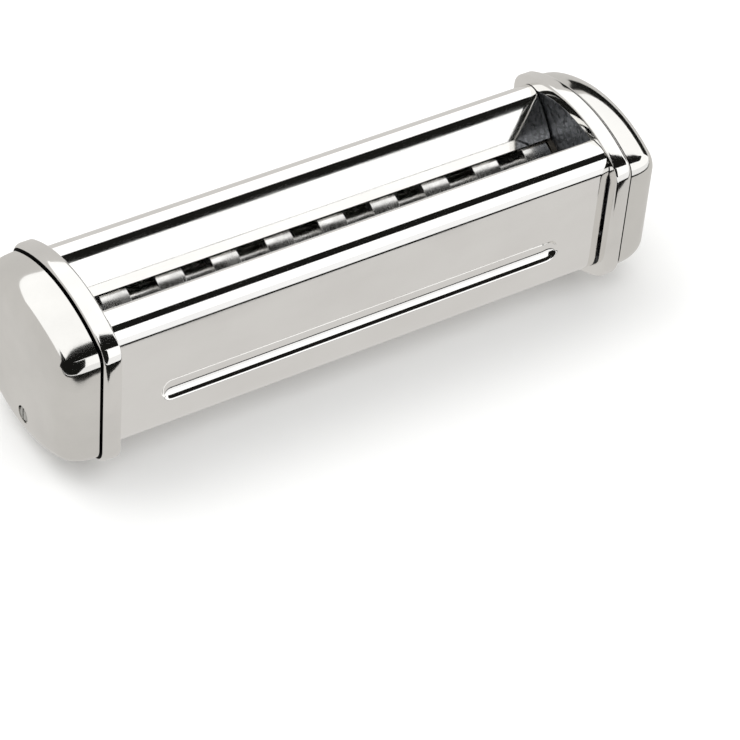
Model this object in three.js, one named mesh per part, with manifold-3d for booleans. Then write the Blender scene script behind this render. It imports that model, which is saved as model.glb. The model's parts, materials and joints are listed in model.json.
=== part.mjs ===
// Clip-on pasta cutter: two meshing ring rollers between two end castings, under
// sheet-metal covers that form the hopper. Millimetres, +Z up, X along the rollers,
// front towards -Y. The origin is on the floor under the middle of the body.
import * as THREE from 'three';
import { mergeVertices } from 'three/addons/utils/BufferGeometryUtils.js';
import Module from 'manifold-3d';

const wasm = await Module();
wasm.setup();

// ---------- driving dimensions ----------
const GAP = 0.3;                 // kept between pieces that touch
const BODY_HALF = 110;           // mid-length to a collar's inner face
const COLLAR_WIDTH = 8;
const CAP_DEPTH = 16;
const HALF_WIDTH = 36.3;         // side view of the end castings
const HALF_HEIGHT = 37.5;
const FLAT_HALF = 22;            // half height of the upright flat
const CORNER_R = 8;
const FOOT_CUT = 0.8;            // flat cut under each collar, to stand on
const AXIS_Z = HALF_HEIGHT - FOOT_CUT;
const CAP_SIDE_STEP = 1.6;       // the cap is this much smaller than the collar
const CAP_TOP_STEP = 2.4;
const CAP_SIDE_FALL = 0.032;     // and is drawn in by this share more at its face
const CAP_TOP_FALL = 0.065;
const CAP_WALL = 1.5;
const CAP_FLATNESS = 10;         // higher is flatter in the face
const CAP_CORNER = 3.2;          // higher is straighter in the sides
const PLATE_BEARING = 0.6;       // edge of an end plate held between collar and cap
const SHEET = 1;                 // thickness of the covers
const ROLLER_OFFSET = 11.75;     // each roller's axis from the middle plane
const RING_R = 13;
const RING_PITCH = 12;           // one cut strip
const RING_COUNT = 18;           // on both rollers together
const RING_SLACK = 0.3;          // less than the pitch, for the mesh of the rings
const CORE_R = 8;
const SHAFT_R = 5;
const BUSH_R = 8;
const SOCKET_R = 6.5;
const SOCKET_SQUARE = 7;
const PLATE = 3;
const CHEEK = 1.5;               // thickness of the sheet at each end of the trough
const ROD_R = 2.5;
const ROD_PLACES = [[-24.5, 18.5], [24.5, 18.5], [-24.5, -18.5], [24.5, -18.5]];
const SCREW_SIDE = 4;            // cap screw beside and below the middle
const SCREW_DROP = 20.5;
const TEETH = 14;
const PRESSURE_ANGLE = THREE.MathUtils.degToRad(25);
const BACKLASH = 0.35;
const HOOK_X = 85;

const COLLAR_END = BODY_HALF + COLLAR_WIDTH;
const CHEEK_X = BODY_HALF + 2 * GAP;
const PLATE_X = COLLAR_END + GAP;
const PLATE_END = PLATE_X + PLATE;
const BUSH_END = PLATE_END + GAP;
const FLANGE_X = RING_COUNT * RING_PITCH / 2 + 0.6;
const CORE_END = FLANGE_X - 0.4;
const GEAR_X = BUSH_END + 0.4;
const GEAR_WIDTH = 4.4;
const CLIP_WIDTH = 0.8;

const chrome = { color: 0xe4e3df, metalness: 1, roughness: 0.08 };
const satin = { color: 0xc9c5bd, metalness: 1, roughness: 0.28 };
const zinc = { color: 0x55585c, metalness: 0.9, roughness: 0.5 };
const steel = { color: 0xb4b4b2, metalness: 1, roughness: 0.25 };
const bronze = { color: 0x8d7a5e, metalness: 0.9, roughness: 0.45 };

// ---------- small geometry helpers ----------
const ALONG_X = new THREE.Matrix4().makeBasis(
  new THREE.Vector3(0, 1, 0), new THREE.Vector3(0, 0, 1), new THREE.Vector3(1, 0, 0));

function weld(geometry) {
  const bare = new THREE.BufferGeometry();
  bare.setAttribute('position', geometry.attributes.position.clone());
  if (geometry.index) bare.setIndex(geometry.index.clone());
  const merged = mergeVertices(bare, 1e-4);
  const index = merged.index.array;
  const kept = [];
  for (let i = 0; i < index.length; i += 3) {
    const [a, b, c] = [index[i], index[i + 1], index[i + 2]];
    if (a !== b && b !== c && c !== a) kept.push(a, b, c);
  }
  merged.setIndex(kept);
  return merged;
}

function toSolid(geometry) {
  const mesh = weld(geometry);
  return new wasm.Manifold(new wasm.Mesh({
    numProp: 3,
    vertProperties: new Float32Array(mesh.attributes.position.array),
    triVerts: new Uint32Array(mesh.index.array),
  }));
}

function toGeometry(solid) {
  const mesh = solid.getMesh();
  const geometry = new THREE.BufferGeometry();
  geometry.setAttribute('position', new THREE.BufferAttribute(mesh.vertProperties, 3));
  geometry.setIndex(new THREE.BufferAttribute(mesh.triVerts, 1));
  return geometry;
}

function cut(geometry, ...tools) {
  return toGeometry(tools.reduce((body, tool) => body.subtract(toSolid(tool)), toSolid(geometry)));
}

function join(geometry, ...others) {
  return toGeometry(others.reduce((body, other) => body.add(toSolid(other)), toSolid(geometry)));
}

// A shape drawn in Y and Z, pulled along X from x0 to x1.
function prism(shape, x0, x1, curveSegments = 12) {
  const options = { depth: x1 - x0, bevelEnabled: false, curveSegments };
  return new THREE.ExtrudeGeometry(shape, options).applyMatrix4(ALONG_X).translate(x0, 0, 0);
}

function rod(radius, x0, x1, y = 0, z = 0, segments = 16) {
  const cylinder = new THREE.CylinderGeometry(radius, radius, x1 - x0, segments);
  return cylinder.rotateZ(-Math.PI / 2).translate((x0 + x1) / 2, y, z);
}

// A turned piece about the X axis, from [radius, x] pairs.
function turned(profile, segments = 20) {
  const points = profile.map(([r, x]) => new THREE.Vector2(r, x));
  return new THREE.LatheGeometry(points, segments).rotateZ(-Math.PI / 2);
}

function arc(cy, cz, radius, from, to, steps) {
  const points = [];
  for (let i = 0; i <= steps; i += 1) {
    const angle = THREE.MathUtils.degToRad(from + (to - from) * i / steps);
    points.push([cy + radius * Math.cos(angle), cz + radius * Math.sin(angle)]);
  }
  return points;
}

function shapeOf(points) {
  return new THREE.Shape(points.map(([y, z]) => new THREE.Vector2(y, z)));
}

function circleHole(shape, y, z, radius) {
  shape.holes.push(new THREE.Path().absarc(y, z, radius, 0, 2 * Math.PI, true));
}

// The side view of the end castings, inset from the outside: upright flats,
// rounded corners and arched top and bottom, about the middle of the body.
function sideProfile(inset, cornerSteps = 4, crownSteps = 5) {
  const cornerY = HALF_WIDTH - CORNER_R;
  const rise = HALF_HEIGHT - FLAT_HALF;
  const crownR = (cornerY ** 2 + rise ** 2 - CORNER_R ** 2) / (2 * (rise - CORNER_R));
  const crownZ = HALF_HEIGHT - crownR;
  const joinAngle = THREE.MathUtils.radToDeg(Math.atan2(FLAT_HALF - crownZ, cornerY));
  const corner = arc(cornerY, FLAT_HALF, CORNER_R - inset, 0, joinAngle, cornerSteps);
  const crown = arc(0, crownZ, crownR - inset, joinAngle, 90, crownSteps).slice(1);
  const quarter = [...corner, ...crown];
  const mirrored = (sy, sz) => quarter.map(([y, z]) => [sy * y, sz * z]);
  return [
    ...mirrored(1, 1), ...mirrored(-1, 1).reverse().slice(1),
    ...mirrored(-1, -1), ...mirrored(1, -1).reverse().slice(1),
  ];
}

// The side view of the caps: the castings' own, drawn in further on top than beside.
function capProfile(inset, cornerSteps, crownSteps) {
  const wide = (HALF_WIDTH - CAP_SIDE_STEP - inset) / HALF_WIDTH;
  const tall = (HALF_HEIGHT - CAP_TOP_STEP - inset) / HALF_HEIGHT;
  return sideProfile(0, cornerSteps, crownSteps).map(([y, z]) => [y * wide, z * tall]);
}

// Rings of equal point count joined into a skin. A skin either closes on itself
// or ends in a point at each end.
function loft(rings, tips) {
  const count = rings[0].length;
  const positions = rings.flat(2);
  const index = [];
  const last = tips ? rings.length - 1 : rings.length;
  for (let r = 0; r < last; r += 1) {
    for (let i = 0; i < count; i += 1) {
      const next = (i + 1) % count;
      const upper = ((r + 1) % rings.length) * count;
      index.push(r * count + i, r * count + next, upper + next);
      index.push(r * count + i, upper + next, upper + i);
    }
  }
  if (tips) {
    const first = positions.length / 3;
    positions.push(...tips[0], ...tips[1]);
    const top = (rings.length - 1) * count;
    for (let i = 0; i < count; i += 1) {
      const next = (i + 1) % count;
      index.push(first, next, i);
      index.push(first + 1, top + i, top + next);
    }
  }
  const geometry = new THREE.BufferGeometry();
  geometry.setAttribute('position', new THREE.Float32BufferAttribute(positions, 3));
  geometry.setIndex(index);
  return geometry;
}

function ringAt(x, points) {
  return points.map(([y, z]) => [x, y, z]);
}

// A sheet of even thickness whose outer side follows an open path.
function sheetShape(path, thickness) {
  const inner = path.map(([y, z], i) => {
    const [py, pz] = path[Math.max(i - 1, 0)];
    const [ny, nz] = path[Math.min(i + 1, path.length - 1)];
    const length = Math.hypot(ny - py, nz - pz);
    return [y + thickness * (nz - pz) / length, z - thickness * (ny - py) / length];
  });
  return shapeOf([...path, ...inner.reverse()]);
}

// ---------- end castings ----------
// A cast band with soft edges, which falls away towards the lower cap outside it.
function collar() {
  const lowered = capProfile(0);
  const outer = [[0, 1.2, 0], [0.6, 0.35, 0], [2, 0, 0], [COLLAR_WIDTH - 2.6, 0, 0],
    [COLLAR_WIDTH - 0.8, 0.2, 0.2], [COLLAR_WIDTH, 0.7, 0.55]];
  const rings = outer.map(([x, inset, fall]) => {
    const points = sideProfile(inset).map(([y, z], i) => {
      const [capY, capZ] = lowered[i];
      return [y + (capY - y) * fall, Math.max(z + (capZ - z) * fall, -AXIS_Z)];
    });
    return ringAt(BODY_HALF + x, points);
  });
  const opening = capProfile(CAP_WALL + 2 * GAP + PLATE_BEARING);
  rings.push(ringAt(COLLAR_END, opening), ringAt(BODY_HALF, opening));
  return loft(rings);
}

function endPlate() {
  const shape = shapeOf(capProfile(CAP_WALL + 2 * GAP));
  for (const y of [-ROLLER_OFFSET, ROLLER_OFFSET]) circleHole(shape, y, 0, BUSH_R + GAP);
  for (const [y, z] of ROD_PLACES) circleHole(shape, y, z, ROD_R + GAP);
  circleHole(shape, SCREW_SIDE, -SCREW_DROP, 1.7 + GAP);
  return prism(shape, PLATE_X, PLATE_END, 8);
}

// The dark sheet that closes the trough's end, an arch standing over the bush blocks.
function cheek() {
  const shape = shapeOf(capProfile(CAP_WALL + 3 * GAP + PLATE_BEARING));
  const uppers = ROD_PLACES.filter(([, z]) => z > 0);
  for (const [y, z] of uppers) circleHole(shape, y, z, ROD_R + GAP);
  const end = CHEEK_X + CHEEK;
  const blockHole = (y) => rod(RING_R + GAP, CHEEK_X - 1, end + 1, y, 0, 32);
  const below = new THREE.BoxGeometry(2 * CHEEK + 2, 2 * HALF_WIDTH, HALF_HEIGHT);
  below.translate((CHEEK_X + end) / 2, 0, -HALF_HEIGHT / 2);
  return cut(prism(shape, CHEEK_X, end, 8), blockHole(-ROLLER_OFFSET), blockHole(ROLLER_OFFSET), below);
}

// Domed cup: its sides draw in slowly, turn a soft corner and end in a bulged face.
function capHeight(depth, rho) {
  return depth * (1 - rho ** CAP_FLATNESS) ** (1 / CAP_CORNER);
}

function endCap(openings) {
  const outerRhos = [1, 0.993, 0.975, 0.945, 0.9, 0.82, 0.65, 0.35];
  const innerRhos = [0.45, 0.8, 0.92, 0.975, 0.997, 1];
  const skin = (inset, depth, rho) => {
    const along = capHeight(depth, rho);
    const drawn = (along / depth) ** 1.5;
    const wide = rho * (1 - CAP_SIDE_FALL * drawn);
    const tall = rho * (1 - CAP_TOP_FALL * drawn);
    const scaled = capProfile(inset, 3, 5).map(([y, z]) => [wide * y, tall * z]);
    return ringAt(PLATE_X + along, scaled);
  };
  const inner = innerRhos.map((rho) => skin(CAP_WALL, CAP_DEPTH - CAP_WALL, rho));
  const outer = outerRhos.map((rho) => skin(0, CAP_DEPTH, rho));
  const tips = [[PLATE_X + CAP_DEPTH - CAP_WALL, 0, 0], [PLATE_X + CAP_DEPTH, 0, 0]];
  return cut(loft([...inner, ...outer], tips), ...openings);
}

const SCREW_SEAT = PLATE_X + CAP_DEPTH - 1.7;

function screwOpening() {
  const shank = rod(1.7 + GAP, PLATE_END, SCREW_SEAT + 1, SCREW_SIDE, -SCREW_DROP, 12);
  const recess = rod(3.6, SCREW_SEAT, SCREW_SEAT + 6, SCREW_SIDE, -SCREW_DROP, 16);
  return join(shank, recess);
}

function capScrew() {
  const head = SCREW_SEAT + GAP;
  const profile = [[0, PLATE_X + 0.2], [1.7, PLATE_X + 0.2], [1.7, head], [3.2, head],
    [3.2, head + 0.7], [2.3, head + 1.3], [0, head + 1.3]];
  const slot = new THREE.BoxGeometry(1.4, 0.8, 8).translate(head + 1.3, 0, 0);
  return cut(turned(profile, 14), slot).translate(0, SCREW_SIDE, -SCREW_DROP);
}

// ---------- covers ----------
function frontPath() {
  return [
    [-9, -31.2],
    ...arc(-18.8, -18.5, 12, 270, 180, 7),
    ...arc(-22.8, 23.5, 8, 180, 90, 9),
    ...arc(-19.6, 28.1, 3.4, 90, 32, 5),
    [-7.2, 14.1],
  ];
}

// The trough side of the rear cover is one shallow arc that runs on from its rolled top.
function rearPath() {
  const roll = { y: 23.2, z: 21.4, r: 7.5, end: 134 };
  const wallR = 65;
  const turn = THREE.MathUtils.degToRad(roll.end);
  const wallY = roll.y - (wallR - roll.r) * Math.cos(turn);
  const wallZ = roll.z - (wallR - roll.r) * Math.sin(turn);
  return [
    [9, -31.2],
    ...arc(18.8, -18.5, 11.9, 270, 360, 7),
    ...arc(roll.y, roll.z, roll.r, 0, roll.end, 12),
    ...arc(wallY, wallZ, wallR, roll.end, 148.4, 4).slice(1),
  ];
}

const BEAD = { left: -90, right: 89.3, z: -7, half: 4.9, depth: 2.9 };

function stadium(half, x0, x1, y0, y1) {
  const shape = new THREE.Shape();
  shape.absarc(x1 - half, 0, half, -Math.PI / 2, Math.PI / 2, false);
  shape.absarc(x0 + half, 0, half, Math.PI / 2, 3 * Math.PI / 2, false);
  const options = { depth: y1 - y0, bevelEnabled: false, curveSegments: 8 };
  return new THREE.ExtrudeGeometry(shape, options).rotateX(Math.PI / 2).translate(0, y1, BEAD.z);
}

function frontCover() {
  const half = BODY_HALF - GAP;
  const shell = prism(sheetShape(frontPath(), SHEET), -half, half);
  const face = -30.8;
  const boss = stadium(BEAD.half + SHEET, BEAD.left - SHEET, BEAD.right + SHEET,
    face + SHEET / 2, face + BEAD.depth + SHEET);
  const groove = stadium(BEAD.half, BEAD.left, BEAD.right, face - 1, face + BEAD.depth);
  return cut(join(shell, boss), groove);
}

function rearCover() {
  const half = BODY_HALF - GAP;
  const shell = prism(sheetShape(rearPath(), -SHEET), -half, half);
  const holes = hookPlaces().map(([x, z]) => {
    const hole = new THREE.CylinderGeometry(1.8, 1.8, 6, 12);
    return hole.translate(x, 30.7, z);
  });
  return cut(shell, ...holes);
}

// ---------- hooks for the host machine, on the back ----------
function hookPlaces() {
  const places = [];
  for (const side of [-1, 1]) {
    for (const step of [-5, 5]) places.push([side * HOOK_X + step, -6]);
  }
  return places;
}

function hook() {
  const back = 30.7 + GAP;
  const shape = shapeOf([
    [back, -11], [back + 1.4, -11], [back + 1.4, 12], [back + 3.8, 12],
    [back + 3.8, 2], [back + 5.2, 2], [back + 5.2, 13.4], [back, 13.4],
  ]);
  const holes = [-5, 5].map((x) => new THREE.CylinderGeometry(1.8, 1.8, 6, 12)
    .translate(x, back, -6));
  return cut(prism(shape, -9, 9), ...holes);
}

function rivet() {
  const profile = [[0, -2.2], [2.8, -2.2], [2.8, -1.5], [1.5, -1.5], [1.5, 1.9], [2.8, 1.9],
    [2.2, 2.9], [0, 3.1]];
  return turned(profile, 12).rotateZ(Math.PI / 2);
}

// ---------- bushes, rods and nuts ----------
// The flange closes the trough beside the last ring and is flat where the rollers meet.
function bush(boreR) {
  const reach = ROLLER_OFFSET - 0.25;
  const angle = Math.acos(reach / RING_R);
  const flange = new THREE.Shape();
  flange.absarc(0, 0, RING_R, angle, 2 * Math.PI - angle, false);
  const body = prism(flange, FLANGE_X, COLLAR_END, 20);
  const spigot = rod(BUSH_R, COLLAR_END - 3, BUSH_END, 0, 0, 20);
  return cut(join(body, spigot), rod(boreR, FLANGE_X - 5, BUSH_END + 5, 0, 0, 20));
}

function tieRod() {
  const half = BUSH_END + 4;
  return rod(ROD_R, -half, half, 0, 0, 12);
}

function nut() {
  const shape = shapeOf(arc(0, 0, 4.6, 0, 300, 5));
  circleHole(shape, 0, 0, ROD_R + GAP);
  return prism(shape, BUSH_END, BUSH_END + 3.2, 6);
}

// ---------- rollers ----------
function ringCentres(first) {
  const centres = [];
  const start = -(RING_COUNT - 1) * RING_PITCH / 2;
  for (let i = first; i < RING_COUNT; i += 2) centres.push(start + i * RING_PITCH);
  return centres;
}

function ringProfile(centres) {
  const half = (RING_PITCH - RING_SLACK) / 2;
  return centres.flatMap((x) => [
    [CORE_R, x - half], [RING_R, x - half], [RING_R, x + half], [CORE_R, x + half],
  ]);
}

function gearEndProfile() {
  const clip = GEAR_X + GEAR_WIDTH + 0.4;
  const grooveR = SHAFT_R - 0.8;
  return [[0, -clip - 2], [SHAFT_R - 0.4, -clip - 2], [SHAFT_R, -clip - 1.6],
    [SHAFT_R, -clip - CLIP_WIDTH - 0.1], [grooveR, -clip - CLIP_WIDTH - 0.1],
    [grooveR, -clip + 0.1], [SHAFT_R, -clip + 0.1], [SHAFT_R, -CORE_END], [CORE_R, -CORE_END]];
}

function rearRoller() {
  const stubEnd = COLLAR_END;
  const profile = [...gearEndProfile(), ...ringProfile(ringCentres(1)), [CORE_R, CORE_END],
    [SHAFT_R, CORE_END], [SHAFT_R, PIN_X - 2.8], [4, PIN_X - 2.8], [4, stubEnd], [0, stubEnd]];
  return cut(turned(profile), pinTool(1.3));
}

function frontRoller() {
  const clip = BUSH_END + 0.4;
  const grooveR = SHAFT_R - 0.8;
  const profile = [...gearEndProfile(), ...ringProfile(ringCentres(0)), [CORE_R, CORE_END],
    [SHAFT_R, CORE_END], [SHAFT_R, clip - 0.1], [grooveR, clip - 0.1],
    [grooveR, clip + CLIP_WIDTH + 0.1], [SHAFT_R, clip + CLIP_WIDTH + 0.1],
    [SHAFT_R, clip + 1.8], [0, clip + 1.8]];
  return turned(profile);
}

const PIN_X = 115.7;

function pinTool(radius) {
  return new THREE.CylinderGeometry(radius, radius, 20, 12).rotateX(Math.PI / 2)
    .translate(PIN_X, 0, 0);
}

function crankSocket() {
  const start = PIN_X - 2.5;
  const end = PLATE_X + CAP_DEPTH - 0.3;
  const bore = rod(4 + GAP, start - 1, COLLAR_END + GAP, 0, 0, 16);
  const squareLength = end - COLLAR_END - 1.5 + 1;
  const square = new THREE.BoxGeometry(squareLength, SOCKET_SQUARE, SOCKET_SQUARE)
    .translate(COLLAR_END + 1.5 + squareLength / 2, 0, 0);
  return cut(rod(SOCKET_R, start, end, 0, 0, 24), bore, square, pinTool(1.3));
}

function socketPin() {
  return new THREE.CylinderGeometry(1, 1, 12.4, 10).rotateX(Math.PI / 2).translate(PIN_X, 0, 0);
}

// ---------- gears and clips ----------
function gear(phase) {
  const pitchR = ROLLER_OFFSET;
  const module = 2 * pitchR / TEETH;
  const baseR = pitchR * Math.cos(PRESSURE_ANGLE);
  const tipR = pitchR + 0.9 * module;
  const rootR = pitchR - 1.25 * module;
  const involute = (angle) => Math.tan(angle) - angle;
  const pitchHalf = (Math.PI * module / 2 - BACKLASH) / (2 * pitchR);
  const halfAngle = (r) => pitchHalf + involute(PRESSURE_ANGLE) - involute(Math.acos(baseR / r));
  const radii = [0, 1, 2, 3].map((i) => baseR + (tipR - baseR) * i / 3);
  const points = [];
  for (let tooth = 0; tooth < TEETH; tooth += 1) {
    const centre = 2 * Math.PI * (tooth + phase) / TEETH;
    const at = (r, angle) => points.push([r * Math.cos(angle), r * Math.sin(angle)]);
    at(rootR, centre - halfAngle(baseR));
    radii.forEach((r) => at(r, centre - halfAngle(r)));
    radii.slice().reverse().forEach((r) => at(r, centre + halfAngle(r)));
    at(rootR, centre + halfAngle(baseR));
  }
  const shape = shapeOf(points);
  circleHole(shape, 0, 0, SHAFT_R + GAP);
  return prism(shape, -GEAR_X - GEAR_WIDTH, -GEAR_X, 10);
}

function clip(x) {
  const outer = arc(0, 0, 7.6, 110, 430, 12);
  const inner = arc(0, 0, SHAFT_R - 0.5, 430, 110, 12);
  return prism(shapeOf([...outer, ...inner]), x, x + CLIP_WIDTH);
}

// ---------- stripper combs ----------
// A slotted plate whose fingers lie under the core, between a roller's own rings, and
// lift the strips out. It is drawn level below the roller's axis and tilted about it.
const COMB_TILT = THREE.MathUtils.degToRad(20);

function comb(side, centres) {
  const thickness = 1.5;
  const barIn = 10.8;
  const barOut = 16;
  const tip = -7.4;
  const fingerHalf = 5.7;
  const end = COLLAR_END;
  const points = [[-end, barOut], [-end, barIn]];
  for (const x of centres) {
    points.push([x - fingerHalf, barIn], [x - fingerHalf, tip]);
    points.push([x + fingerHalf, tip], [x + fingerHalf, barIn]);
  }
  points.push([end, barIn], [end, barOut]);
  const outline = points.map(([x, y]) => new THREE.Vector2(x, side * y));
  const options = { depth: thickness, bevelEnabled: false };
  const drop = CORE_R + 0.7 + thickness;
  return new THREE.ExtrudeGeometry(new THREE.Shape(outline), options).translate(0, 0, -drop);
}

// ---------- assembly ----------
const machine = new THREE.Group();
const body = new THREE.Group();
body.position.z = AXIS_Z;
machine.add(body);

function add(parent, name, geometry, look, place = [0, 0, 0]) {
  const mesh = new THREE.Mesh(geometry, new THREE.MeshStandardMaterial(look));
  mesh.name = name;
  mesh.position.set(...place);
  parent.add(mesh);
  return mesh;
}

function addEnd(name, turn, capOpenings) {
  const end = new THREE.Group();
  end.rotation.z = turn;
  body.add(end);
  add(end, `${name}_collar`, collar(), chrome);
  add(end, `${name}_cheek`, cheek(), zinc);
  add(end, `${name}_end_plate`, endPlate(), zinc);
  add(end, `${name}_end_cap`, endCap([screwOpening(), ...capOpenings]), satin);
  add(end, `${name}_cap_screw`, capScrew(), steel);
  ROD_PLACES.forEach(([y, z], i) => add(end, `${name}_rod_nut_${i + 1}`, nut(), steel, [0, y, z]));
}

addEnd('right', 0, [rod(SOCKET_R + 0.4, PLATE_END, COLLAR_END + 20, ROLLER_OFFSET, 0, 24)]);
addEnd('left', Math.PI, []);

add(body, 'front_cover', frontCover(), chrome);
add(body, 'rear_cover', rearCover(), chrome);
for (const [name, side, centres] of [['front', -1, ringCentres(1)], ['rear', 1, ringCentres(0)]]) {
  const place = [0, side * ROLLER_OFFSET, 0];
  const mesh = add(body, `${name}_stripper_comb`, comb(side, centres), steel, place);
  mesh.rotation.x = -side * COMB_TILT;
}

const rodNames = ['front_upper', 'rear_upper', 'front_lower', 'rear_lower'];
ROD_PLACES.forEach(([y, z], i) => add(body, `${rodNames[i]}_tie_rod`, tieRod(), steel, [0, y, z]));

for (const [name, side] of [['left', -1], ['right', 1]]) {
  add(body, `${name}_mounting_hook`, hook(), steel, [side * HOOK_X, 0, 0]);
}
hookPlaces().forEach(([x, z], i) => add(body, `hook_rivet_${i + 1}`, rivet(), steel,
  [x, 30.7, z]));

// A bush is built for the right-hand end of the front roller and turned for the rest.
function addBush(name, y, turn, boreR) {
  const mesh = add(body, name, bush(boreR), bronze, [0, y, 0]);
  mesh.rotation.set(turn[0], turn[1], turn[2]);
}
addBush('front_right_bush', -ROLLER_OFFSET, [0, 0, 0], SHAFT_R + GAP);
addBush('rear_right_bush', ROLLER_OFFSET, [Math.PI, 0, 0], SOCKET_R + GAP);
addBush('rear_left_bush', ROLLER_OFFSET, [0, 0, Math.PI], SHAFT_R + GAP);
addBush('front_left_bush', -ROLLER_OFFSET, [0, Math.PI, 0], SHAFT_R + GAP);

const drive = new THREE.Group();
drive.position.y = ROLLER_OFFSET;
body.add(drive);
add(drive, 'rear_cutter_roller', rearRoller(), chrome);
add(drive, 'crank_socket', crankSocket(), steel);
add(drive, 'socket_pin', socketPin(), steel);
add(drive, 'drive_gear', gear(0), steel);
add(drive, 'drive_gear_clip', clip(-GEAR_X - GEAR_WIDTH - 0.4 - CLIP_WIDTH), steel);

const driven = new THREE.Group();
driven.position.y = -ROLLER_OFFSET;
body.add(driven);
add(driven, 'front_cutter_roller', frontRoller(), chrome);
add(driven, 'driven_gear', gear(0.5), steel);
add(driven, 'driven_gear_clip', clip(-GEAR_X - GEAR_WIDTH - 0.4 - CLIP_WIDTH), steel);
add(driven, 'front_roller_end_clip', clip(BUSH_END + 0.4), steel);

export default machine;
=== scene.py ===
"""Looks of the clip-on pasta cutter: polished covers, chromed castings, ring rollers.

Everything is in metres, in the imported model's frame: +X along the rollers, -Y to the front, +Z up.
"""
import json
import math

import bpy
import bmesh
from mathutils import Matrix, Vector


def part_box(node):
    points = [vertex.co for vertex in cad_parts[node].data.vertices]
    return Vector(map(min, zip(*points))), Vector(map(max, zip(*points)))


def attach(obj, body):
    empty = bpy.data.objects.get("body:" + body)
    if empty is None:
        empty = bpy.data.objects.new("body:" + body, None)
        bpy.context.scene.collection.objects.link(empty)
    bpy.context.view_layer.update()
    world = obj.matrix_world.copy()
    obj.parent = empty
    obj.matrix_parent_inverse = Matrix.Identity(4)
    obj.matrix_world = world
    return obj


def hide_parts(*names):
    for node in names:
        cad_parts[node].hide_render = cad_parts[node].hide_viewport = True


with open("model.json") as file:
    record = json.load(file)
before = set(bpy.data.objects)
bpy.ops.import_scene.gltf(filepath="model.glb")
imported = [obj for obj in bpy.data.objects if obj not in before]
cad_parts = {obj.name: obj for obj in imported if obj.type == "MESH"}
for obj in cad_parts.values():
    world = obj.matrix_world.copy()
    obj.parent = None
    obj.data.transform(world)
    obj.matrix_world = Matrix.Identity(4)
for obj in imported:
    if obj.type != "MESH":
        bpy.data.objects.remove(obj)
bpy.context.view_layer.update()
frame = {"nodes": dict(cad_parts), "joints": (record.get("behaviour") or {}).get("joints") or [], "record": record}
NODES = frame["nodes"]
MM = 0.001

# ---------- places and sizes, from the frame ----------
COLLAR_LO, COLLAR_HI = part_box("right_collar")
CAP_LO, CAP_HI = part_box("right_end_cap")
COVER_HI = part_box("front_cover")[1]
REAR_ROLLER = [j for j in frame["joints"] if j["name"] == "rear_roller_spin"][0]["pos_m"]
FRONT_ROLLER = [j for j in frame["joints"] if j["name"] == "front_roller_spin"][0]["pos_m"]
AXIS_Z = REAR_ROLLER[2]
ROLLER_OFFSET = REAR_ROLLER[1]
HALF_WIDTH = COLLAR_HI.y
HALF_HEIGHT = COLLAR_HI.z - AXIS_Z
FLAT_HALF = 22 * MM
CORNER_R = 8 * MM
CAP_TOP_STEP = 2.4 * MM              # the cap's rim is this much smaller than the collar
CAP_SIDE_STEP = 1.6 * MM
CAP_TOP_FALL = 0.065                 # and its face is drawn in by this share more
CAP_SIDE_FALL = 0.032
CAP_FLATNESS = 10.0                  # higher is flatter in the face
CAP_CORNER = 3.2                     # higher is straighter in the sides
CAP_WALL = 1.5 * MM
CAP_DEPTH = CAP_HI.x - CAP_LO.x
SEAM = 0.7 * MM                      # gap between a collar and its cap, its end faces painted near-black as shade
SEAM_X = CAP_LO.x + SEAM / 2
OPENING = CAP_WALL + 1.2 * MM        # the collar's opening, in from the cap's outline
SCREW_SUNK = 1.7 * MM                # the cap screw's seat, below the middle of the face
SCREW_RECESS_R = 3.6
SCREW_SHANK_R = 2
CRANK_HOLE_R = 6.9 * MM
SHEET = 1 * MM
RING_R = 13 * MM
RING_PITCH = 12 * MM
RING_COUNT = 18
CORE_R = 8 * MM
SHAFT_R = 5 * MM
STUB_R = 4 * MM                      # the rear roller's end, inside the crank socket
CORE_END = 108.2 * MM
RING_HALF = 5.85 * MM
SHARP_ANGLE = 35                     # degrees; steeper edges are shaded sharp
# material slot of the painted seam shade
SEAM_SHADE_SLOT = 1


# ---------- mesh helpers ----------
def new_object(name, mesh, body, material, stands_for=()):
    piece = bpy.data.objects.new(name, mesh)
    bpy.context.scene.collection.objects.link(piece)
    piece.data.materials.append(material)
    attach(piece, body)
    if stands_for:
        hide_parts(*stands_for)
    return piece


def mesh_from(name, verts, faces):
    mesh = bpy.data.meshes.new(name)
    mesh.from_pydata([tuple(v) for v in verts], [], faces)
    bm = bmesh.new()
    bm.from_mesh(mesh)
    bmesh.ops.remove_doubles(bm, verts=bm.verts, dist=1e-7)
    bmesh.ops.recalc_face_normals(bm, faces=bm.faces)
    bm.to_mesh(mesh)
    bm.free()
    shade_smooth(mesh)
    return mesh


def shade_smooth(mesh):
    """Smooth faces, with a sharp edge wherever two faces meet at more than SHARP_ANGLE."""
    bm = bmesh.new()
    bm.from_mesh(mesh)
    limit = math.radians(SHARP_ANGLE)
    for face in bm.faces:
        face.smooth = True
    for edge in bm.edges:
        edge.smooth = len(edge.link_faces) == 2 and edge.calc_face_angle(0) < limit
    bm.to_mesh(mesh)
    bm.free()


def baked(piece):
    """The piece's mesh with its modifiers applied, so that nothing is left on the stack."""
    graph = bpy.context.evaluated_depsgraph_get()
    mesh = bpy.data.meshes.new_from_object(piece.evaluated_get(graph))
    piece.modifiers.clear()
    old = piece.data
    piece.data = mesh
    bpy.data.meshes.remove(old)
    return mesh


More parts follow.
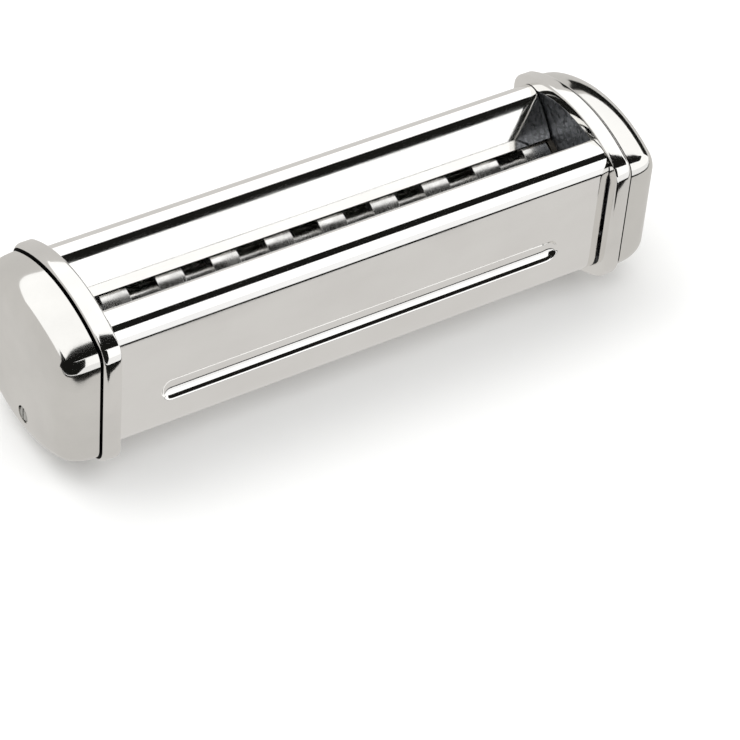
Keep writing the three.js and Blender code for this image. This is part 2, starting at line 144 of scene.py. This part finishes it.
def loft(rings, first=None, last=None, closed=False):
    """Vertices and faces of a skin over rings of equal point count, with a point at each end."""
    count = len(rings[0])
    verts = [v for ring in rings for v in ring]
    faces = []
    spans = len(rings) if closed else len(rings) - 1
    for r in range(spans):
        low, high = r * count, ((r + 1) % len(rings)) * count
        for i in range(count):
            j = (i + 1) % count
            faces.append((low + i, low + j, high + j, high + i))
    for tip, ring in ((first, 0), (last, len(rings) - 1)):
        if tip is not None:
            verts.append(tip)
            base = ring * count
            faces += [(len(verts) - 1, base + i, base + (i + 1) % count) for i in range(count)]
    return verts, faces


def arc(cy, cz, radius, start, end, steps):
    angles = [math.radians(start + (end - start) * i / steps) for i in range(steps + 1)]
    return [(cy + radius * math.cos(a), cz + radius * math.sin(a)) for a in angles]


def side_profile(inset, corner_steps=12, crown_steps=26, flat_steps=6):
    """The castings' side view: upright flats, round corners, arched top and bottom."""
    corner_y = HALF_WIDTH - CORNER_R
    rise = HALF_HEIGHT - FLAT_HALF
    crown_r = (corner_y ** 2 + rise ** 2 - CORNER_R ** 2) / (2 * (rise - CORNER_R))
    crown_z = HALF_HEIGHT - crown_r
    meet = math.degrees(math.atan2(FLAT_HALF - crown_z, corner_y))
    quarter = [(HALF_WIDTH - inset, FLAT_HALF * i / flat_steps) for i in range(flat_steps)]
    quarter += arc(corner_y, FLAT_HALF, CORNER_R - inset, 0, meet, corner_steps)
    quarter += arc(0, crown_z, crown_r - inset, meet, 90, crown_steps)[1:]
    ring = []
    for sy, sz, turn in ((1, 1, False), (-1, 1, True), (-1, -1, False), (1, -1, True)):
        part = [(sy * y, sz * z) for y, z in quarter]
        ring += (part[::-1] if turn else part)[1:] if ring else part
    return ring[:-1]


def cap_profile(inset):
    """The caps' side view at the rim: a little inside the collar, and more so on top."""
    wide = (HALF_WIDTH - CAP_SIDE_STEP - inset) / HALF_WIDTH
    tall = (HALF_HEIGHT - CAP_TOP_STEP - inset) / HALF_HEIGHT
    return [(y * wide, z * tall) for y, z in side_profile(0)]


def placed(ring, x, side, scale=1.0):
    """A (y, z) ring about the roller axes' middle, put at x on the right (1) or left (-1)."""
    return [(side * x, scale * y, AXIS_Z + scale * z) for y, z in ring]


def round_edge(radius, steps):
    """(along, inset) pairs of a quarter round, from the rim inwards."""
    turns = [math.pi / 2 * i / steps for i in range(steps + 1)]
    return [(radius * (1 - math.cos(t)), radius * (1 - math.sin(t))) for t in turns]


# ---------- materials ----------
def metal(name, colour, roughness):
    material = bpy.data.materials.new(name)
    material.use_nodes = True
    tree = material.node_tree
    shader = tree.nodes["Principled BSDF"]
    shader.inputs["Metallic"].default_value = 1.0
    shader.inputs["Base Color"].default_value = (*colour, 1)
    shader.inputs["Roughness"].default_value = roughness
    return material, tree, shader


def coords(tree, scale):
    """Object coordinates, stretched by a scale for each axis."""
    place = tree.nodes.new("ShaderNodeTexCoord")
    mapping = tree.nodes.new("ShaderNodeMapping")
    mapping.inputs["Scale"].default_value = scale
    tree.links.new(place.outputs["Object"], mapping.inputs["Vector"])
    return mapping.outputs["Vector"]


def noise(tree, scale, size, detail=4.0, roughness=0.55):
    node = tree.nodes.new("ShaderNodeTexNoise")
    node.inputs["Scale"].default_value = size
    node.inputs["Detail"].default_value = detail
    node.inputs["Roughness"].default_value = roughness
    tree.links.new(coords(tree, scale), node.inputs["Vector"])
    return node.outputs["Fac"]


def spread(tree, value, low, high, start=0.3, end=0.7):
    """Maps a noise value's usual range, start to end, onto low to high."""
    node = tree.nodes.new("ShaderNodeMapRange")
    node.inputs["From Min"].default_value = start
    node.inputs["From Max"].default_value = end
    node.inputs["To Min"].default_value = low
    node.inputs["To Max"].default_value = high
    tree.links.new(value, node.inputs["Value"])
    return node.outputs["Result"]


MIX_FACTOR, MIX_FIRST, MIX_SECOND, MIX_RESULT = 0, 6, 7, 2     # colour sockets of a Mix node


def tint(tree, factor, first, second):
    """A mix of two colours; the first may also be a socket."""
    node = tree.nodes.new("ShaderNodeMix")
    node.data_type = "RGBA"
    if isinstance(first, tuple):
        node.inputs[MIX_FIRST].default_value = (*first, 1)
    else:
        tree.links.new(first, node.inputs[MIX_FIRST])
    node.inputs[MIX_SECOND].default_value = (*second, 1)
    tree.links.new(factor, node.inputs[MIX_FACTOR])
    return node.outputs[MIX_RESULT]


def bump(tree, shader, layers):
    """Stacks bump layers given as (height value, strength, distance in metres)."""
    normal = None
    for height, strength, distance in layers:
        node = tree.nodes.new("ShaderNodeBump")
        node.inputs["Strength"].default_value = strength
        node.inputs["Distance"].default_value = distance
        tree.links.new(height, node.inputs["Height"])
        if normal is not None:
            tree.links.new(normal, node.inputs["Normal"])
        normal = node.outputs["Normal"]
    tree.links.new(normal, shader.inputs["Normal"])


def added(tree, first, second):
    node = tree.nodes.new("ShaderNodeMath")
    node.operation = "ADD"
    tree.links.new(first, node.inputs[0])
    tree.links.new(second, node.inputs[1])
    return node.outputs["Value"]


EVEN = (1, 1, 1)


def polished_sheet():
    """Mirror-bright stainless sheet: faint lengthwise polish lines, smears and a slow waviness."""
    material, tree, shader = metal("polished_sheet", (0.92, 0.915, 0.9), 0.06)
    lines = noise(tree, (14, 900, 900), 1.0, 3)
    smears = noise(tree, (1, 1.6, 1.6), 26, 5)
    colour = tint(tree, spread(tree, smears, 0, 1), (0.945, 0.94, 0.925), (0.90, 0.89, 0.875))
    tree.links.new(colour, shader.inputs["Base Color"])
    fine = spread(tree, lines, -0.012, 0.02)
    rough = added(tree, spread(tree, smears, 0.035, 0.095), fine)
    tree.links.new(rough, shader.inputs["Roughness"])
    waves = noise(tree, (0.5, 1, 1), 22, 1)
    bump(tree, shader, [(waves, 0.05, 0.002), (lines, 0.02, 0.0002)])
    return material


def chromed_casting(name, colour, rough_low, rough_high, wave):
    """Bright chrome over a polished casting, with the slow unevenness of hand polishing."""
    material, tree, shader = metal(name, colour, rough_low)
    cloud = noise(tree, EVEN, 34, 5)
    darker = tuple(0.93 * c for c in colour)
    lighter = tuple(min(1.03 * c, 1) for c in colour)
    clouded = tint(tree, spread(tree, cloud, 0, 1), lighter, darker)
    tree.links.new(clouded, shader.inputs["Base Color"])
    tree.links.new(spread(tree, cloud, rough_low, rough_high), shader.inputs["Roughness"])
    slow = noise(tree, EVEN, 30, 2)
    grain = noise(tree, EVEN, 1400, 2)
    bump(tree, shader, [(slow, wave, 0.002), (grain, 0.03, 0.0001)])
    return material


def galvanised():
    """Dark zinc-coated plate: mottled crystals a millimetre or two across, with light specks."""
    material, tree, shader = metal("galvanised_plate", (0.2, 0.21, 0.225), 0.5)
    cells = tree.nodes.new("ShaderNodeTexVoronoi")
    cells.inputs["Scale"].default_value = 620
    tree.links.new(coords(tree, EVEN), cells.inputs["Vector"])
    specks = noise(tree, EVEN, 1500, 3, 0.7)
    mottled = tint(tree, cells.outputs["Color"], (0.05, 0.054, 0.06), (0.30, 0.315, 0.345))
    speckled = tint(tree, spread(tree, specks, 0, 0.75, 0.6, 0.72), mottled, (0.8, 0.82, 0.85))
    tree.links.new(speckled, shader.inputs["Base Color"])
    rough = spread(tree, cells.outputs["Distance"], 0.32, 0.6, 0, 1)
    tree.links.new(rough, shader.inputs["Roughness"])
    bump(tree, shader, [(specks, 0.3, 0.0002)])
    return material


def turned_metal(name, colour, rough_low, rough_high, ridge=0.12):
    """Lathe-turned metal: fine rings about the roller's axis, light scuffs and stains."""
    material, tree, shader = metal(name, colour, rough_low)
    rings = noise(tree, (2600, 4, 4), 1.0, 2)
    stains = noise(tree, EVEN, 130, 5)
    darker = tuple(0.78 * c for c in colour)
    stained = tint(tree, spread(tree, stains, 0, 1), colour, darker)
    tree.links.new(stained, shader.inputs["Base Color"])
    rough = added(tree, spread(tree, stains, rough_low, rough_high),
                  spread(tree, rings, -0.03, 0.04))
    tree.links.new(rough, shader.inputs["Roughness"])
    bump(tree, shader, [(rings, ridge, 0.0001)])
    return material


def plain_steel(name, colour, rough_low, rough_high, grain=900):
    """Pressed or plated steel with fine grain, stains and worn brighter patches."""
    material, tree, shader = metal(name, colour, rough_low)
    patches = noise(tree, EVEN, 160, 5)
    fine = noise(tree, EVEN, grain, 3)
    darker = tuple(0.72 * c for c in colour)
    patched = tint(tree, spread(tree, patches, 0, 1), colour, darker)
    tree.links.new(patched, shader.inputs["Base Color"])
    rough = added(tree, spread(tree, patches, rough_low, rough_high),
                  spread(tree, fine, -0.04, 0.04))
    tree.links.new(rough, shader.inputs["Roughness"])
    bump(tree, shader, [(fine, 0.12, 0.0001)])
    return material


MATERIALS = {
    "polished_sheet": polished_sheet(),
    "chromed_casting": chromed_casting("chromed_casting", (0.87, 0.86, 0.84), 0.04, 0.10, 0.06),
    "polished_cap": chromed_casting("polished_cap", (0.82, 0.81, 0.785), 0.05, 0.11, 0.1),
    "galvanised_plate": galvanised(),
    "roller_metal": turned_metal("roller_metal", (0.92, 0.91, 0.89), 0.18, 0.3),
    "comb_steel": plain_steel("comb_steel", (0.55, 0.55, 0.54), 0.25, 0.4),
    "sintered_bush": plain_steel("sintered_bush", (0.30, 0.27, 0.23), 0.42, 0.6, 1600),
    "gear_steel": turned_metal("gear_steel", (0.45, 0.45, 0.44), 0.25, 0.4),
    "socket_steel": turned_metal("socket_steel", (0.62, 0.62, 0.61), 0.2, 0.35),
    "hook_steel": plain_steel("hook_steel", (0.66, 0.66, 0.65), 0.22, 0.36),
    "fastener_steel": plain_steel("fastener_steel", (0.62, 0.62, 0.60), 0.22, 0.38),
}
# Near-black painted shade for the end faces in the seams between collars and caps, standing in for the shadow in
# the gaps.
SEAM_SHADE = plain_steel("painted_seam_shade", (0.012, 0.012, 0.012), 0.75, 0.9)


# ---------- collars and end caps ----------
def end_name(side):
    return "right" if side > 0 else "left"


def blended(first, second, share):
    return [(a + (c - a) * share, b + (d - b) * share) for (a, b), (c, d) in zip(first, second)]


def seam_shade_faces(piece, x, reach):
    """The end faces at +x or -x, inside the seam, are painted near-black: painted shade standing in for the shadow
    in the gap.
    """
    piece.data.materials.append(SEAM_SHADE)
    for face in piece.data.polygons:
        if abs(abs(face.center.x) - x) < reach and abs(face.normal.x) > 0.9:
            face.material_index = SEAM_SHADE_SLOT


def collar(side):
    """A cast band with soft edges, which falls away towards the lower cap on its outer side."""
    x0, x_end = COLLAR_LO.x, COLLAR_HI.x - SEAM / 2
    inner_round, lip_round = 1.2 * MM, 0.4 * MM
    soft_width, soft_drop, soft_share, soft_steps = 2.6 * MM, 0.7 * MM, 0.55, 9
    lowered = cap_profile(0)

    def outer(x, inset, share=0.0):
        ring = blended(side_profile(inset), lowered, share)
        return placed([(y, max(z, -AXIS_Z)) for y, z in ring], x, side)

    def opening(x, inset):
        return placed(cap_profile(OPENING - inset), x, side)

    lip = round_edge(lip_round, 3)
    rings = [outer(x0 + along, inset) for along, inset in round_edge(inner_round, 6)]
    for i in range(1, soft_steps + 1):
        t = math.pi / 2 * i / soft_steps
        down = 1 - math.cos(t)
        x = x_end - soft_width * (1 - math.sin(t))
        rings.append(outer(x, soft_drop * down, soft_share * down))
    rings += [opening(x_end - along, inset) for along, inset in lip]
    rings += [opening(x0 + along, inset) for along, inset in reversed(lip)]
    verts, faces = loft(rings, closed=True)
    name = f"{end_name(side)}_collar"
    mesh = mesh_from(f"{name}_bright", verts, faces)
    piece = new_object(f"{name}_bright", mesh, "housing",
                       MATERIALS["chromed_casting"], [name])
    # painted shade on the collar's end face in the seam
    seam_shade_faces(piece, x_end, 0.02 * MM)


def cap_skin(side, inset, depth, rho):
    """One ring of a cap's skin: rho runs from the middle of the face, 0, to the rim, 1."""
    depth -= SEAM / 2
    along = depth * (1 - rho ** CAP_FLATNESS) ** (1 / CAP_CORNER)
    drawn = (along / depth) ** 1.5
    wide, tall = 1 - CAP_SIDE_FALL * drawn, 1 - CAP_TOP_FALL * drawn
    ring = [(wide * y, tall * z) for y, z in cap_profile(inset)]
    return placed(ring, SEAM_X + along, side, rho)


def cylinder_cutter(radius, x0, x1, y, z, steps=64):
    turns = [2 * math.pi * i / steps for i in range(steps)]
    ring = [(radius * math.cos(t), radius * math.sin(t)) for t in turns]
    rings = [[(x, y + a, z + b) for a, b in ring] for x in (x0, x1)]
    verts, faces = loft(rings, (x0, y, z), (x1, y, z))
    mesh = mesh_from("cutter", verts, faces)
    cutter = bpy.data.objects.new("cutter", mesh)
    bpy.context.scene.collection.objects.link(cutter)
    return cutter


def subtract(piece, cutters):
    for cutter in cutters:
        tool = piece.modifiers.new("cut", "BOOLEAN")
        tool.object = cutter
        tool.operation = "DIFFERENCE"
        tool.solver = "EXACT"
    bpy.context.view_layer.update()
    mesh = baked(piece)
    for cutter in cutters:
        bpy.data.objects.remove(cutter)
    shade_smooth(mesh)


def end_cap(side):
    """A domed cup, with the cap screw's recess and, on the right, the crank's hole."""
    steps, inner_every = 30, 3
    rhos = [1 - 0.9 * (i / steps) ** 2.2 for i in range(steps + 1)]
    inside = CAP_DEPTH - CAP_WALL
    inner = [cap_skin(side, CAP_WALL, inside, r) for r in reversed(rhos[::inner_every])]
    outer = [cap_skin(side, 0, CAP_DEPTH, r) for r in rhos]
    tips = [(side * (CAP_LO.x + depth), 0, AXIS_Z) for depth in (inside, CAP_DEPTH)]
    verts, faces = loft(inner + outer, *tips)
    name = end_name(side)
    mesh = mesh_from(f"{name}_cap_bright", verts, faces)
    piece = new_object(f"{name}_cap_bright", mesh, "housing",
                       MATERIALS["polished_cap"], [f"{name}_end_cap"])
    low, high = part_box(f"{name}_cap_screw")
    screw_y, screw_z = (low.y + high.y) / 2, (low.z + high.z) / 2
    face = CAP_LO.x + CAP_DEPTH
    seat = face - SCREW_SUNK
    beyond = 10 * MM
    cutters = [cylinder_cutter(radius * MM, side * (seat + start), side * (seat + stop),
                               screw_y, screw_z)
               for radius, start, stop in ((SCREW_RECESS_R, 0, beyond),
                                           (SCREW_SHANK_R, -3 * MM, 1 * MM))]
    if side > 0:
        cutters.append(cylinder_cutter(CRANK_HOLE_R, CAP_LO.x + 4 * MM, face + beyond,
                                       ROLLER_OFFSET, AXIS_Z))
    subtract(piece, cutters)
    # painted shade on the cap's rim face in the seam
    seam_shade_faces(piece, SEAM_X, 0.05 * MM)


# ---------- covers ----------
FACE_Y = -30.8                       # front face of the front cover, mm


def front_path():
    """The front cover's side view, from the exit slot round the front to the trough wall, mm."""
    points = [(-9, -31.2)]
    points += arc(-18.8, -18.5, 12, 270, 180, 24)
    points += [(FACE_Y, -18.5 + 42 * i / 40) for i in range(1, 40)]
    points += arc(-22.8, 23.5, 8, 180, 90, 28)
    points += arc(-19.6, 28.1, 3.4, 90, 32, 14)
    points += [(-7.2, 14.1)]
    return [(y * MM, z * MM) for y, z in points]


def rear_path():
    """The rear cover's side view, from the exit slot round the back into the trough wall, mm."""
    wall_r, roll_y, roll_z, roll_r, end = 65, 23.2, 21.4, 7.5, 134
    turn = math.radians(end)
    wall_y = roll_y - (wall_r - roll_r) * math.cos(turn)
    wall_z = roll_z - (wall_r - roll_r) * math.sin(turn)
    points = [(9, -31.2)]
    points += arc(18.8, -18.5, 11.9, 270, 360, 24)
    points += arc(roll_y, roll_z, roll_r, 0, end, 40)
    points += arc(wall_y, wall_z, wall_r, end, 148.4, 18)[1:]
    return [(y * MM, z * MM) for y, z in points]


BEAD_LEFT, BEAD_RIGHT, BEAD_Z = -90 * MM, 89.3 * MM, -7 * MM
BEAD_HALF, BEAD_DEPTH = 4.9 * MM, 2.9 * MM
BEAD_INNER, BEAD_OUTER = 0.88, 1.12  # the bead's soft edge, in shares of its half width


def bead_depth(x, z):
    """How far the pressed bead sinks the front face at a point."""
    along = max(BEAD_LEFT + BEAD_HALF - x, x - BEAD_RIGHT + BEAD_HALF, 0)
    reach = math.hypot(along, z - BEAD_Z) / BEAD_HALF
    if reach >= BEAD_OUTER:
        return 0.0
    if reach > BEAD_INNER:
        t = (BEAD_OUTER - reach) / (BEAD_OUTER - BEAD_INNER)
        edge = BEAD_DEPTH * (1 - BEAD_INNER ** 2) ** 0.5
        return edge * t * t * (1.4 - 0.4 * t)
    return BEAD_DEPTH * (1 - reach ** 2) ** 0.5


def offset_path(path, thickness):
    inner = []
    for i, (y, z) in enumerate(path):
        py, pz = path[max(i - 1, 0)]
        ny, nz = path[min(i + 1, len(path) - 1)]
        length = math.hypot(ny - py, nz - pz)
        inner.append((y + thickness * (nz - pz) / length, z - thickness * (ny - py) / length))
    return inner


def cover(name, path, thickness, stations, sink):
    """A sheet of even thickness along a side view, pressed in by sink(x, y, z)."""
    inner = offset_path(path, thickness)
    loop = path + inner[::-1]
    rings = []
    for x in stations:
        rings.append([(x, y + sink(x, y, z), AXIS_Z + z) for y, z in loop])
    verts, faces = loft(rings)
    count, last = len(loop), len(stations) - 1
    for i in range(len(path) - 1):
        a, b = i, i + 1
        c, d = count - 2 - i, count - 1 - i
        faces.append((a, b, c, d))
        faces.append(tuple(last * count + k for k in (a, d, c, b)))
    mesh = mesh_from(f"{name}_bright", verts, faces)
    new_object(f"{name}_bright", mesh, "housing",
               MATERIALS["polished_sheet"], [name])


def front_cover():
    """The front sheet, with rows of points close together where the bead is pressed in."""
    half = COVER_HI.x
    reach, step = BEAD_HALF * 1.4, (BEAD_RIGHT - BEAD_LEFT - 2.8 * BEAD_HALF) / 24
    ends = [centre - sign * BEAD_HALF * 1.2 + sign * reach * i / 20
            for centre, sign in ((BEAD_LEFT, -1), (BEAD_RIGHT, 1)) for i in range(21)]
    middle = [BEAD_LEFT + reach + i * step for i in range(25)]
    stations = sorted({round(x, 6) for x in [-half, half, *ends, *middle]})
    face = FACE_Y * MM

    def sink(x, y, z):
        flat = face - 0.1 * MM < y < face + 1.1 * MM and abs(z - BEAD_Z) < 9 * MM
        return bead_depth(x, z) if flat else 0.0

    path = front_path()
    dense = [(face, BEAD_Z + BEAD_HALF * 1.3 * (i / 24 - 1)) for i in range(49)]
    apart = 0.2 * MM
    lower = [(y, z) for y, z in path
             if z < dense[0][1] - apart or y > face + 0.1 * MM and z < 0]
    upper = [p for p in path if p not in lower and p[1] > dense[-1][1] + apart]
    cover("front_cover", lower + dense + upper, SHEET, stations, sink)


def rear_cover():
    half = COVER_HI.x
    stations = [-half + 2 * half * i / 40 for i in range(41)]
    cover("rear_cover", rear_path(), -SHEET, stations, lambda x, y, z: 0.0)


# ---------- rollers ----------
def ring_centres(first):
    start = -(RING_COUNT - 1) * RING_PITCH / 2
    return [start + i * RING_PITCH for i in range(first, RING_COUNT, 2)]


def roller(name, node, body, centre, first):
    """The turned roller: a plain core with rings, every ring with small rounded edges."""
    low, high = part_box(node)
    chamfer, shoulder = 0.4 * MM, CORE_END + 4.5 * MM
    edge = round_edge(0.35 * MM, 4)
    profile = [(SHAFT_R - chamfer, low.x), (SHAFT_R, low.x + chamfer),
               (SHAFT_R, -CORE_END), (CORE_R, -CORE_END)]
    for x in ring_centres(first):
        profile.append((CORE_R, x - RING_HALF))
        profile += [(RING_R - inset, x - RING_HALF + along) for along, inset in edge]
        profile += [(RING_R - inset, x + RING_HALF - along) for along, inset in reversed(edge)]
        profile.append((CORE_R, x + RING_HALF))
    stub = STUB_R if node.startswith("rear") else SHAFT_R
    profile += [(CORE_R, CORE_END), (SHAFT_R, CORE_END), (SHAFT_R, shoulder),
                (stub, shoulder), (stub, high.x)]
    steps = 96
    turns = [2 * math.pi * i / steps for i in range(steps)]
    axis_y, axis_z = centre[1], centre[2]
    rings = [[(x, axis_y + radius * math.cos(t), axis_z + radius * math.sin(t)) for t in turns]
             for radius, x in profile]
    verts, faces = loft(rings, (low.x, axis_y, axis_z), (high.x, axis_y, axis_z))
    mesh = mesh_from(name, verts, faces)
    new_object(name, mesh, body, MATERIALS["roller_metal"], [node])


# ---------- carried-over nodes ----------
def finish_cad(node, slot_name, bevel):
    """Gives a CAD node its finish and softens its edges."""
    piece = NODES[node]
    piece.data.materials.clear()
    piece.data.materials.append(MATERIALS[slot_name])
    weld = piece.modifiers.new("weld", "WELD")
    weld.merge_threshold = 1e-6
    if bevel:
        soft = piece.modifiers.new("bevel", "BEVEL")
        soft.width = bevel
        soft.segments = 3
        soft.limit_method = "ANGLE"
        soft.angle_limit = math.radians(40)
        soft.use_clamp_overlap = True


collar(1)
collar(-1)
end_cap(1)
end_cap(-1)
front_cover()
rear_cover()
roller("rear_roller_turned", "rear_cutter_roller", "drive_roller", REAR_ROLLER, 1)
roller("front_roller_turned", "front_cutter_roller", "driven_roller", FRONT_ROLLER, 0)

EDGE_WIDTH = 0.25 * MM
SLOT_OF = {part["node"]: part["material_slot"] for part in frame["record"]["subparts"]}
REPLACED = {"left_collar", "right_collar", "left_end_cap", "right_end_cap", "front_cover",
            "rear_cover", "rear_cutter_roller", "front_cutter_roller"}
for node_name in sorted(NODES):
    if node_name not in REPLACED:
        width = 0.0 if "gear" in node_name else EDGE_WIDTH
        finish_cad(node_name, SLOT_OF[node_name], width)


# ---------- stage ----------
def card(name, corners, colour, seen=False):
    """A flat panel of the studio: the floor, or a glowing card that only reflections see."""
    mesh = bpy.data.meshes.new(name)
    mesh.from_pydata(corners, [], [tuple(range(len(corners)))])
    material = bpy.data.materials.new(name)
    material.use_nodes = True
    tree = material.node_tree
    shader = tree.nodes["Principled BSDF"]
    shader.inputs["Base Color"].default_value = (*colour, 1) if seen else (0, 0, 0, 1)
    shader.inputs["Roughness"].default_value = 0.9
    shader.inputs["Specular IOR Level"].default_value = 0.0
    shader.inputs["Emission Color"].default_value = (*colour, 1)
    shader.inputs["Emission Strength"].default_value = 0.0 if seen else 1.0
    mesh.materials.append(material)
    panel = bpy.data.objects.new(name, mesh)
    bpy.context.scene.collection.objects.link(panel)
    if not seen:
        panel.visible_camera = False
        panel.visible_shadow = False
        panel.visible_diffuse = False
    return panel


def rectangle(x0, x1, y0, y1, z):
    return [(x0, y0, z), (x1, y0, z), (x1, y1, z), (x0, y1, z)]


def upright(x0, x1, y0, y1, z0, z1):
    """A vertical panel from (x0, y0) to (x1, y1)."""
    return [(x0, y0, z0), (x1, y1, z0), (x1, y1, z1), (x0, y0, z1)]


FLOOR_HALF, FAR = 4.0, 6
BLACK, GREY, WHITE = (0.010, 0.010, 0.009), (0.66, 0.645, 0.625), (1, 1, 1)
floor = card("floor", rectangle(-FLOOR_HALF, FLOOR_HALF, -FLOOR_HALF, FLOOR_HALF, -0.0002),
             (0.86, 0.86, 0.855), seen=True)
floor.visible_glossy = False
card("grey_sweep", rectangle(-FAR, FAR, -FAR, FAR, -0.004), GREY)
card("white_front", rectangle(-FAR, FAR, -FAR, -0.122, -0.003), WHITE)
card("dark_line", rectangle(-3, 3, -0.122, -0.094, -0.002), BLACK)
card("grey_back", upright(-FAR, 3, 2.5, 2.5, -0.004, 1.55), GREY)
card("grey_left", upright(-2.5, -2.5, 2.5, 0.05, -0.004, 1.5), GREY)
card("dark_floor_left", rectangle(-FAR, -0.15, -FAR, -0.14, -0.0025), BLACK)
card("dark_flag_front", upright(-1.2, -0.1, -1.42, -1.6, -0.002, 1.5), BLACK)
card("dark_flag_right", upright(1.6, 2.4, 2.0, 0.1, 0.12, 0.95), BLACK)
card("dark_flag_high", rectangle(-1.9, 2.6, -1.42, -0.26, 1.5), BLACK)
card("dark_flag_left", upright(-1.7, -1.2, 0.05, -1.42, 0.02, 1.5), BLACK)


def key_light(place, target, size, watts):
    data = bpy.data.lights.new("key", "AREA")
    data.shape = "RECTANGLE"
    data.size, data.size_y = size
    data.energy = watts
    light = bpy.data.objects.new("key", data)
    light.location = place
    light.rotation_euler = (target - Vector(place)).to_track_quat("-Z", "Y").to_euler()
    light.visible_camera = False
    light.visible_glossy = False
    bpy.context.scene.collection.objects.link(light)


key_light((-0.6, 1.0, 1.9), Vector((0, 0, AXIS_Z)), (1.8, 1.2), 16)

world = bpy.data.worlds.new("studio")
bpy.context.scene.world = world
world.use_nodes = True
backdrop = world.node_tree.nodes["Background"]
backdrop.inputs["Color"].default_value = (1.0, 1.0, 0.995, 1)
backdrop.inputs["Strength"].default_value = 1.22

scene = bpy.context.scene
scene.view_settings.view_transform = "Standard"


# ---------- camera ----------
AZIMUTH, ELEVATION, ROLL = (math.radians(a) for a in (35.65, 42.0, -5.125))
AIM = Vector((0.65, -35.05, 5.88)) * MM
DISTANCE = 1.2799
LENS, SENSOR = 160.54, 36.0


def camera():
    """Above the front left corner, long lens, tipped a few degrees about its own axis."""
    ahead = Vector((math.sin(AZIMUTH) * math.cos(ELEVATION),
                    math.cos(AZIMUTH) * math.cos(ELEVATION), -math.sin(ELEVATION)))
    level = Vector((math.cos(AZIMUTH), -math.sin(AZIMUTH), 0))
    above = level.cross(ahead)
    right = math.cos(ROLL) * level - math.sin(ROLL) * above
    up = math.sin(ROLL) * level + math.cos(ROLL) * above
    data = bpy.data.cameras.new("camera")
    data.sensor_width = SENSOR
    data.lens = LENS
    data.clip_start, data.clip_end = 0.05, 20
    view = bpy.data.objects.new("camera", data)
    rotation = Matrix((right, up, -ahead)).transposed().to_4x4()
    view.matrix_world = Matrix.Translation(AIM - DISTANCE * ahead) @ rotation
    scene.collection.objects.link(view)
    scene.camera = view


camera()
